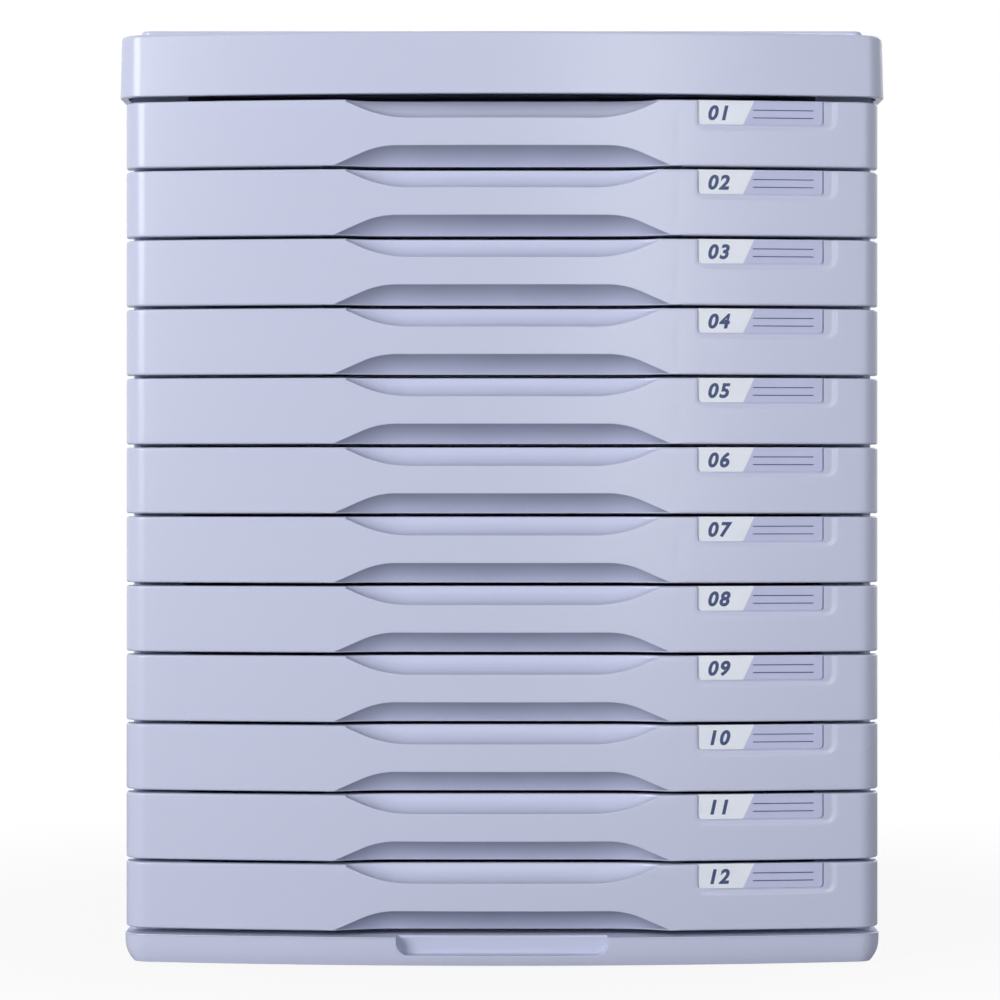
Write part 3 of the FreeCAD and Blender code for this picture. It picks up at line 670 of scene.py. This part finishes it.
def stopBlocks(shape):  # two stops under the floor, steep in front and ramped behind
    front, rear = stopPart["front"], stopPart["front"] + stopPart["ramp"]
    high = boxPart["floorLow"] + stopPart["sunk"]
    low = boxPart["floorLow"]
    ramp = [(front, low - stopPart["height"]), (rear, low), (rear, high), (front, high)]
    for side in (-1, 1):
        middle = side * stopPart["spacing"] / 2
        x0, x1 = middle - stopPart["width"] / 2, middle + stopPart["width"] / 2
        shape.grid([[(x, y, z) for y, z in ramp] for x in (x0, x1)], closed=True)
        for x in (x0, x1):
            shape.fill([(x, y, z) for y, z in ramp])


def addLabel(number, index, body, lift):
    at = (labelMiddle, faceFront + bowDepth(labelMiddle), lift + facePart["high"] - labelPart["height"])
    for name, node, mesh, material, slot in (
            ("labelWindow", "label_window_", windowMesh, windowMaterial, "clear_window"),
            ("labelCard", "label_card_", cardMesh, cardMaterial, "label_card")):
        place(name + number, mesh, body, material, at, labelTurn, [node + number])
    place("labelDigits" + number, digitsMesh(index), body, ink, at, labelTurn)


numberPart = {"size": 7.6, "lean": 0.22, "bold": 0.3, "spacing": 1.2, "x": -21.0, "z": 2.0, "proud": 0.02}
linePart = {"start": -3.0, "end": 21.0, "low": 2.6, "step": 3.0, "height": 0.4, "count": 2}


def digitsMesh(index):  # a plain number and two ruled lines, printed on the card
    text = bpy.data.curves.new("digits", "FONT")
    text.body = f"{index:02d}"
    text.size = numberPart["size"] * mm
    text.shear = numberPart["lean"]
    text.offset = numberPart["bold"] * mm
    text.space_character = numberPart["spacing"]
    text.resolution_u = 6
    holder = newObject("holder", text)
    graph = bpy.context.evaluated_depsgraph_get()
    made = bpy.data.meshes.new_from_object(holder.evaluated_get(graph))
    bpy.data.objects.remove(holder)
    made.materials.clear()
    made.name = f"digits{index:02d}"
    work = bmesh.new()
    work.from_mesh(made)
    bmesh.ops.translate(work, verts=work.verts, vec=(numberPart["x"] * mm, numberPart["z"] * mm, 0))
    for bar in range(linePart["count"]):
        low = linePart["low"] + bar * linePart["step"]
        start, end, high = linePart["start"], linePart["end"], low + linePart["height"]
        corners = [(start, low), (end, low), (end, high), (start, high)]
        work.faces.new([work.verts.new((x * mm, y * mm, 0)) for x, y in corners])
    bmesh.ops.rotate(work, verts=work.verts, matrix=Matrix.Rotation(quarter, 3, "X"))
    bmesh.ops.translate(work, verts=work.verts, vec=(0, (cardFront - numberPart["proud"]) * mm, 0))
    work.to_mesh(made)
    work.free()
    return made


def plateMesh(name, nearDepth, farDepth):  # a plate with round lower corners, as deep as its pocket
    half = (labelPart["right"] - labelPart["left"]) / 2 - 0.15
    size, height = labelPart["corner"], labelPart["height"]
    right = [(half - size + size * sin(a), size - size * cos(a)) for a in spread(0, quarter, 8)]
    outline = right + [(half, height)]
    outline += [(-x, z) for x, z in reversed(outline)]
    shape = Shape()
    bevel = 0.12
    rows = [[(x, nearDepth, z) for x, z in offsetLoop(outline, bevel)]]
    rows += [[(x, nearDepth + bevel, z) for x, z in outline], [(x, farDepth, z) for x, z in outline]]
    shape.grid(rows, closed=True)
    shape.fill(rows[0])
    shape.fill(rows[-1])
    return shape.mesh(name)


drawerShape = drawerMesh()
windowFront = labelPart["inset"]
cardFront = windowFront + labelPart["window"] + 0.05
windowMesh = plateMesh("windowMesh", windowFront, windowFront + labelPart["window"] - 0.02)
cardMesh = plateMesh("cardMesh", cardFront, windowFront + labelPart["window"] + labelPart["card"])
windowMaterial, cardMaterial = clearWindow(), printedCard()
for index, number in enumerate(drawerNumbers, 1):
    body = f"drawer_{number}"
    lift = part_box(f"drawer_{number}")[0].z / mm - facePart["low"]
    place(f"drawer{number}", drawerShape, body, drawerPlastic, (0, 0, lift), stands=[body])
    addLabel(number, index, body, lift)
print("drawers made,", len(drawerShape.polygons), "faces each")


# frames and feet

columnWidth = 20.0  # of the frames' two side columns
softEdge = {"frame": 0.55, "foot": 0.3, "segments": 2}


def dressNode(name, material, width):
    node = nodes[name]
    node.data.materials.clear()
    node.data.materials.append(material)
    node.modifiers.new("weld", "WELD").merge_threshold = 0.002 * mm
    flat = node.modifiers.new("flat", "DECIMATE")
    flat.decimate_type, flat.angle_limit = "DISSOLVE", radians(1)
    bevel = node.modifiers.new("edges", "BEVEL")
    bevel.width, bevel.segments, bevel.limit_method = width * mm, softEdge["segments"], "ANGLE"
    bevel.angle_limit = radians(40)
    node.modifiers.new("normals", "WEIGHTED_NORMAL").weight = 100
    node.data.polygons.foreach_set("use_smooth", [True] * len(node.data.polygons))


for number in drawerNumbers:
    dressNode(f"frame_{number}", framePlastic, softEdge["frame"])
dressNode("rubber_feet", rubber, softEdge["foot"])
print("frames and feet dressed")


# cover and base

def bowedLoop(half, front, radius, corner, rear, rearCorner, extra=()):
    # a closed plan with a bowed front and round corners, anticlockwise from the front middle
    middle = half - corner
    turn = asin(middle / (radius - corner))
    centre = front + radius - sqrt((radius - corner) ** 2 - middle**2)
    end = radius * sin(turn)
    xs = sorted(set([0.0] + list(extra) + [end * share for share in spread(0, 1, 25)]))
    right = [(x, front + radius - sqrt(radius**2 - x * x)) for x in xs]
    angles = spread(turn, quarter, 13)[1:]
    right += [(middle + corner * sin(a), centre - corner * cos(a)) for a in angles]
    right += [(half, y) for y in spread(centre, rear - rearCorner, 6)[1:-1]]
    cx, cy = half - rearCorner, rear - rearCorner
    right += [(cx + rearCorner * cos(a), cy + rearCorner * sin(a)) for a in spread(0, quarter, 9)]
    left = [(-x, y) for x, y in reversed(right) if x > 0]
    return right + left


coverPart = {
    "bow": 13.0, "corner": 11.0, "rearCorner": 5.0, "height": 24.2, "draft": radians(1.5), "wall": 2.5,
    "edge": 1.3, "lip": 0.5, "panelInset": 8.5, "panelSetback": 17.0, "panelCorner": 4.0,
    "panelHeight": 2.2, "panelEdge": 1.0, "panelFoot": 0.5,
    "rib": 2.0, "ribHeight": 9.0, "ribSpacing": 110.0,
    "seatWall": 2.0, "seatCell": 20.4, "overlap": 0.4,  # the walls that sit on the frames' columns
}
coverLow, coverHigh = nodeBox("top_cover")
coverRadius = (coverHigh.x**2 + coverPart["bow"] ** 2) / (2 * coverPart["bow"])
skirtLow = coverHigh.z - coverPart["panelHeight"] - coverPart["height"]


def coverLoop(inset, z):
    corner = max(coverPart["corner"] - inset, 0.4)
    rearCorner = max(coverPart["rearCorner"] - inset, 0.4)
    side, front, rear = coverHigh.x - inset, coverLow.y + inset, coverHigh.y - inset
    return [(x, y, z) for x, y in bowedLoop(side, front, coverRadius - inset, corner, rear, rearCorner)]


def panelLoop(inset, z):
    front = coverLow.y + coverPart["panelSetback"] + inset
    side, rear = (high - coverPart["panelInset"] - inset for high in coverHigh[:2])
    return roundedLoop(side, front, rear, coverPart["panelCorner"] - inset, z)


def roundedLoop(side, front, rear, corner, z):  # a rectangle with round corners, anticlockwise
    loop = []
    for step, (x, y) in enumerate(((side, front), (side, rear), (-side, rear), (-side, front))):
        cx, cy = x - copysign(corner, x), y - copysign(corner, y)
        for angle in spread((step - 1) * quarter, step * quarter, 9):
            loop.append((cx + corner * cos(angle), cy + corner * sin(angle), z))
    return loop


def coverMesh():
    shape = Shape()
    draft, height = coverPart["draft"], coverPart["height"]
    lean = height * tan(draft)
    ceiling = skirtLow + height - coverPart["wall"]
    top = skirtLow + height
    lip, edge, panelEdge, foot = (coverPart[key] for key in ("lip", "edge", "panelEdge", "panelFoot"))
    inner = lean + coverPart["wall"]
    rows = [(inner + 0.8, ceiling), (inner + 0.23, ceiling - 0.23)]
    rows += [(inner, ceiling - 0.8), (inner, skirtLow + lip)]
    rows += [(inner - lip * (1 - cos(a)), skirtLow + lip * (1 - sin(a))) for a in spread(0, quarter, 5)[1:]]
    rows += [(lip * (1 - sin(a)), skirtLow + lip * (1 - cos(a))) for a in spread(0, quarter, 5)]
    rows += [(z * tan(draft), skirtLow + z) for z in spread(lip, height - edge, 7)[1:]]
    rows += [(lean + edge * (1 - cos(a)), top - edge * (1 - sin(a))) for a in spread(0, quarter, 8)[1:]]
    loops = [coverLoop(inset, z) for inset, z in rows]
    shape.grid(loops, closed=True)
    shape.fill(loops[0])
    panelTop = top + coverPart["panelHeight"]
    panel = [(-foot * (1 - sin(a)), top + foot * (1 - cos(a))) for a in spread(0, quarter, 5)]
    panel += [(panelEdge * (1 - cos(a)), panelTop - panelEdge * (1 - sin(a))) for a in spread(0, quarter, 7)]
    rings = [panelLoop(inset, z) for inset, z in panel]
    shape.grid(rings, closed=True)
    shape.fill(loops[-1], rings[0])
    shape.fill(rings[-1])
    seatLow, seatHigh = nodeBox("frame_01")
    front, rear, outer = seatLow.y, seatHigh.y, seatHigh.x
    columnInner = outer - columnWidth
    wall, cell, overlap = (coverPart[key] for key in ("seatWall", "seatCell", "overlap"))
    ends = [(front + wall, front + wall + cell), (front + 2 * wall + cell, rear - 2 * wall - cell)]
    ends += [(rear - wall - cell, rear - wall)]
    for side in (-1, 1):
        x0, x1, x2, x3 = (side * x for x in (columnInner - wall, columnInner + wall, outer - wall, outer))
        holes = [[(x1, y0), (x2, y0), (x2, y1), (x1, y1)] for y0, y1 in ends]
        shape.prism([(x0, front), (x3, front), (x3, rear), (x0, rear)], coverLow.z, ceiling + overlap, holes)
    for side in (-1, 1):
        y = side * coverPart["ribSpacing"] / 2
        rib = coverPart["rib"] / 2
        low = ceiling - coverPart["ribHeight"]
        shape.block((-columnInner, y - rib, low), (columnInner, y + rib, ceiling + overlap))
    return shape.mesh("coverMesh")


place("topCover", coverMesh(), "carcass", coverPlastic, stands=["top_cover"])
print("cover made")

basePart = {
    "corner": 10.0, "rearCorner": 5.0, "height": 11.0, "top": 0.6, "rim": 7.5, "plate": 2.5,
    "edgeIn": 3.6, "edgeUp": 8.5, "edgePower": 2.5, "frontShare": 0.4,  # the curve in towards the foot
    "deckRise": 1.5, "deckCorner": 1.5, "deckEdge": 0.4,
    "gripHalf": 41.0, "gripHeight": 7.0, "gripDepth": 7.0, "gripCorner": 5.0, "gripRim": 0.4, "gripCove": 1.6,
    "rib": 2.0, "ribSpacing": 120.0, "longSpacing": 190.0, "boss": 9.5, "footRadius": 8.0,
    "lugGap": 2.2, "lug": 20.0, "lugHeight": 3.0, "overlap": 0.3,
}
baseLow, baseHigh = nodeBox("base")
baseFoot = baseLow.z
baseTop = baseFoot + basePart["height"]
gripLow = baseTop - basePart["gripHeight"]


def gripDistance(x, z):  # how far a point lies inside the grip pocket's outline
    half, size = basePart["gripHalf"], basePart["gripCorner"]
    dx, dz = half - abs(x), z - gripLow
    if dx < size and dz < size:
        return size - hypot(size - dx, size - dz)
    return min(dx, dz)


def gripFloor(x):  # height of the pocket's outline at a place along the front
    half, size = basePart["gripHalf"], basePart["gripCorner"]
    over = min(max(abs(x) - (half - size), 0.0), size)
    return gripLow + size - sqrt(size**2 - over**2)


def gripProfile(distance, deep):
    rim, cove, depth = basePart["gripRim"], basePart["gripCove"], basePart["gripDepth"]
    if distance <= -rim:
        return 0.0
    if distance < -1e-6 or (distance < 1e-6 and not deep):
        return rim - sqrt(max(rim**2 - (rim + min(distance, 0)) ** 2, 0))
    if distance < cove:
        return depth - cove + sqrt(max(cove**2 - (cove - distance) ** 2, 0))
    return depth


def baseMesh():
    shape = Shape()
    half, front, rear = baseHigh.x, baseLow.y, baseHigh.y
    radius = coverRadius
    rim, cove = basePart["gripRim"], basePart["gripCove"]
    gripHalf = basePart["gripHalf"]
    coveSteps = [cove * (1 - cos(quarter * k / 6)) for k in range(1, 7)]
    rimSteps = [rim * s for s in (1.0, 0.75, 0.5, 0.25, 0.1, 0.0)]
    extra = [gripHalf + step for step in rimSteps] + [gripHalf - step for step in coveSteps]
    extra += [gripHalf - d for d in (2.0, 2.4, 2.8, 3.2, 3.6, 4.0, 4.5, 5.0, 6.0)]

    loops = {}

    def loopAt(inset):
        corner, rearCorner = basePart["corner"] - inset, max(basePart["rearCorner"] - inset, 0.4)
        setback = inset * basePart["frontShare"]
        side, foremost, rearmost = half - inset, front + setback, rear - inset
        return bowedLoop(side, foremost, radius - setback, corner, rearmost, rearCorner, extra)

    def loopPoint(inset, index):  # each plan is worked out once
        key = round(inset, 5)
        if key not in loops:
            loops[key] = loopAt(inset)
        return loops[key][index]

    def lowInset(z):  # the front and sides curve in towards the foot
        up = min((z - baseFoot) / basePart["edgeUp"], 1.0)
        return basePart["edgeIn"] * (1 - up) ** basePart["edgePower"]

    ring = loopAt(0.0)
    places = []
    for i, (x, y) in enumerate(ring):
        inGrip = y < front + 2 and abs(x) <= gripHalf + rim + 1e-6
        places.append((i, x, inGrip, False))
        if inGrip and abs(abs(x) - gripHalf) < 1e-6:
            deepPlace = (i, x, True, True)
            if x > 0:
                places.insert(len(places) - 1, deepPlace)
            else:
                places.append(deepPlace)
    top, edge = baseTop, basePart["top"]
    steps = [("low", s) for s in (0.0, 0.03, 0.08, 0.16, 0.27, 0.4, 0.55, 0.75)]
    steps += [("rim", -step) for step in rimSteps] + [("deep", 0.0)]
    steps += [("up", step) for step in coveSteps] + [("rest", s) for s in (0.4, 0.8, 1.0)]
    arc = spread(0, quarter, 6)
    rows = []
    for kind, value in steps:
        row = []
        for i, x, inGrip, deepColumn in places:
            floor = gripFloor(x)
            if kind == "low":
                z = baseFoot + (floor - rim - baseFoot) * value
            elif kind == "rest":
                z = floor + cove + (top - edge - floor - cove) * value
            else:
                z = floor + value
            deep = deepColumn or kind in ("deep", "up", "rest")
            depth = gripProfile(gripDistance(x, z), deep and gripDistance(x, z) > -1e-6) if inGrip else 0.0
            px, py = loopPoint(lowInset(z), i)
            row.append((px, py + depth, z))
        rows.append(row)
    for angle in arc[1:]:
        row = []
        for i, x, inGrip, deepColumn in places:
            z = top - edge * (1 - sin(angle))
            depth = gripProfile(gripDistance(x, top), deepColumn) if inGrip else 0.0
            px, py = loopPoint(edge * (1 - cos(angle)), i)
            row.append((px, py + depth, z))
        rows.append(row)
    shape.grid(rows, closed=True)
    shape.fill(withoutDoubles(rows[-1]))
    ceiling = baseTop + basePart["deckRise"] - basePart["plate"]
    wall = basePart["rim"]
    hollow = bowedLoop(half - wall, front + wall, radius - wall, 3.0, rear - wall, 3.0)
    shape.fill(withoutDoubles(rows[0]), [(x, y, baseFoot) for x, y in hollow])
    shape.grid([[(x, y, z) for x, y in hollow] for z in (baseFoot, ceiling)], closed=True)
    shape.fill([(x, y, ceiling) for x, y in hollow])

    overlap, plate = basePart["overlap"], basePart["plate"]
    gripBack = front + basePart["gripDepth"] + plate
    gripLowCorner = (-gripHalf - plate, front + wall - 0.6, baseFoot + 0.1)
    shape.block(gripLowCorner, (gripHalf + plate, gripBack, ceiling + overlap))
    span = half - wall + overlap
    rib = basePart["rib"] / 2
    for side in (-1, 1):
        y, x = side * basePart["ribSpacing"] / 2, side * basePart["longSpacing"] / 2
        shape.block((-span, y - rib, baseFoot + 0.05), (span, y + rib, ceiling + overlap))
        longRear = rear - wall + overlap
        shape.block((x - rib, front + 20.0, baseFoot + 0.07), (x + rib, longRear, ceiling + overlap))
    feetLow, feetHigh = nodeBox("rubber_feet")
    boss, foot = basePart["boss"], basePart["footRadius"]
    for sx in (feetLow.x + foot, feetHigh.x - foot):
        for sy in (feetLow.y + foot, feetHigh.y - foot):
            angles = spread(0, 2 * pi, 33)[:-1]
            circle = [(sx + boss * cos(a), sy + boss * sin(a)) for a in angles]
            shape.prism(circle, baseFoot, ceiling + overlap)

    frameLow, frameHigh = nodeBox("frame_12")
    frameFront, frameRear, outer = frameLow.y, frameHigh.y, frameHigh.x
    deckTop = baseTop + basePart["deckRise"]
    small, corner = basePart["deckEdge"], basePart["deckCorner"]
    deck = [(0, baseTop - overlap)]
    deck += [(small * (1 - cos(a)), deckTop - small * (1 - sin(a))) for a in spread(0, quarter, 4)]
    rows = [roundedLoop(outer - d, frameFront + d, frameRear - d, corner - d, z) for d, z in deck]
    shape.grid(rows, closed=True)
    shape.fill(rows[0])
    shape.fill(rows[-1])
    gap, lug = basePart["lugGap"], basePart["lug"]
    for side in (-1, 1):
        x0, x1 = sorted((side * (outer - columnWidth + gap), side * (outer - gap)))
        for y0 in (frameFront + gap, frameRear - gap - lug):
            shape.block((x0, y0, deckTop - overlap), (x1, y0 + lug, deckTop + basePart["lugHeight"]))
    return shape.mesh("baseMesh")


place("baseTray", baseMesh(), "carcass", coverPlastic, stands=["base"])
print("base made")


# camera, floor and light

stagePart = {
    "cameraDistance": 1.25, "cameraHeight": 0.186, "cameraAside": -0.0008,
    "shownHeight": 0.3874, "shownMiddle": 0.18159,
    "floorColour": srgb(180, 180, 183), "floorHalf": 12.0,
    "whiteFrom": 0.17, "whiteTo": 0.5, "whiteShare": 0.92,  # how the floor turns white round the object
    "mirrorFrom": 0.6, "mirrorTo": 2.5,                     # the same in reflections
    "world": 0.03, "worldBehind": 0.8, "behindFrom": -0.05, "behindTo": 0.35,  # soft light from behind
}
lampPart = [  # name, place, aim, size, watts, colour
    ("keyLamp", (-3.4, -3.7, 1.75), (0, 0, 0.15), (2.6, 2.6), 208.0, (1.0, 1.0, 1.0)),
    ("stripLamp", (0.76, -4.5, 0.95), (0, 0, 0.15), (0.35, 2.0), 24.0, (1.0, 1.0, 1.0)),
    ("fillLamp", (3.3, -3.0, 0.95), (0, 0, 0.15), (2.0, 1.5), 21.0, (0.9, 0.93, 1.0)),
    ("backLamp", (2.8, 3.9, 2.7), (0, 0, 0.15), (3.2, 3.2), 75.0, (1.0, 1.0, 1.0)),
]


def makeStage():
    scene = bpy.context.scene
    camera = bpy.data.cameras.new("camera")
    distance = stagePart["cameraDistance"]
    camera.sensor_width = 36.0
    camera.lens = 36.0 * distance / stagePart["shownHeight"]
    camera.shift_y = (stagePart["shownMiddle"] - stagePart["cameraHeight"]) / stagePart["shownHeight"]
    camera.clip_end = 100.0
    eye = newObject("camera", camera)
    eye.location = (stagePart["cameraAside"], faceFront * mm - distance, stagePart["cameraHeight"])
    eye.rotation_euler = (quarter, 0.0, 0.0)
    scene.camera = eye
    scene.view_settings.view_transform = "Standard"

    world = bpy.data.worlds.new("studio")
    scene.world = world
    world.use_nodes = True
    tree = world.node_tree
    ways = addNode(tree, "ShaderNodeLightPath").outputs
    seen = maths(tree, "MAXIMUM", ways["Is Camera Ray"], ways["Is Glossy Ray"])
    seen = maths(tree, "MAXIMUM", seen, ways["Is Transmission Ray"])
    direction = addNode(tree, "ShaderNodeTexCoord").outputs["Generated"]
    behind = addNode(tree, "ShaderNodeSeparateXYZ", {0: direction}).outputs["Y"]
    limits = [stagePart[key] for key in ("behindFrom", "behindTo", "world", "worldBehind")]
    level = mapped(tree, behind, *limits, "SMOOTHSTEP")
    soft = addNode(tree, "ShaderNodeBackground", {"Color": (1, 1, 1, 1), "Strength": level})
    white = addNode(tree, "ShaderNodeBackground", {"Color": (1, 1, 1, 1), "Strength": 1.0})
    mix = addNode(tree, "ShaderNodeMixShader", {0: seen, 1: soft.outputs[0], 2: white.outputs[0]})
    tree.links.new(mix.outputs[0], tree.nodes["World Output"].inputs["Surface"])

    floorMesh = bpy.data.meshes.new("floorMesh")
    size = stagePart["floorHalf"]
    corners = [(-size, -size, 0), (size, -size, 0), (size, size, 0), (-size, size, 0)]
    floorMesh.from_pydata(corners, [], [(0, 1, 2, 3)])
    floor = newObject("floor", floorMesh)
    made, tree, shader = newMaterial("studioFloor")
    tree.nodes.remove(shader)
    matt = addNode(tree, "ShaderNodeBsdfDiffuse", {"Color": stagePart["floorColour"]})
    glow = addNode(tree, "ShaderNodeEmission", {"Color": (1, 1, 1, 1), "Strength": 1.0})
    spot = addNode(tree, "ShaderNodeTexCoord").outputs["Object"]
    reach = addNode(tree, "ShaderNodeVectorMath", {0: spot}, operation="LENGTH").outputs["Value"]
    ways = addNode(tree, "ShaderNodeLightPath").outputs
    limits = [stagePart[key] for key in ("whiteFrom", "whiteTo", "whiteShare")]
    direct = mapped(tree, reach, *limits, 1.0, "SMOOTHSTEP")
    mirrored = mapped(tree, reach, stagePart["mirrorFrom"], stagePart["mirrorTo"], kind="SMOOTHSTEP")
    seen = maths(tree, "MAXIMUM", ways["Is Camera Ray"], ways["Is Transmission Ray"])
    seen = maths(tree, "MULTIPLY", seen, direct)
    share = maths(tree, "MULTIPLY_ADD", ways["Is Glossy Ray"], mirrored, seen)
    mix = addNode(tree, "ShaderNodeMixShader", {0: share, 1: matt.outputs[0], 2: glow.outputs[0]})
    tree.links.new(mix.outputs[0], tree.nodes["Material Output"].inputs["Surface"])
    floorMesh.materials.append(made)

    for name, spot, aim, size, watts, colour in lampPart:
        lamp = bpy.data.lights.new(name, "AREA")
        lamp.shape, lamp.size, lamp.size_y = "RECTANGLE", size[0], size[1]
        lamp.energy, lamp.color = watts, colour
        holder = newObject(name, lamp)
        holder.location = spot
        holder.rotation_euler = (Vector(aim) - Vector(spot)).to_track_quat("-Z", "Y").to_euler()


makeStage()
print("stage made")
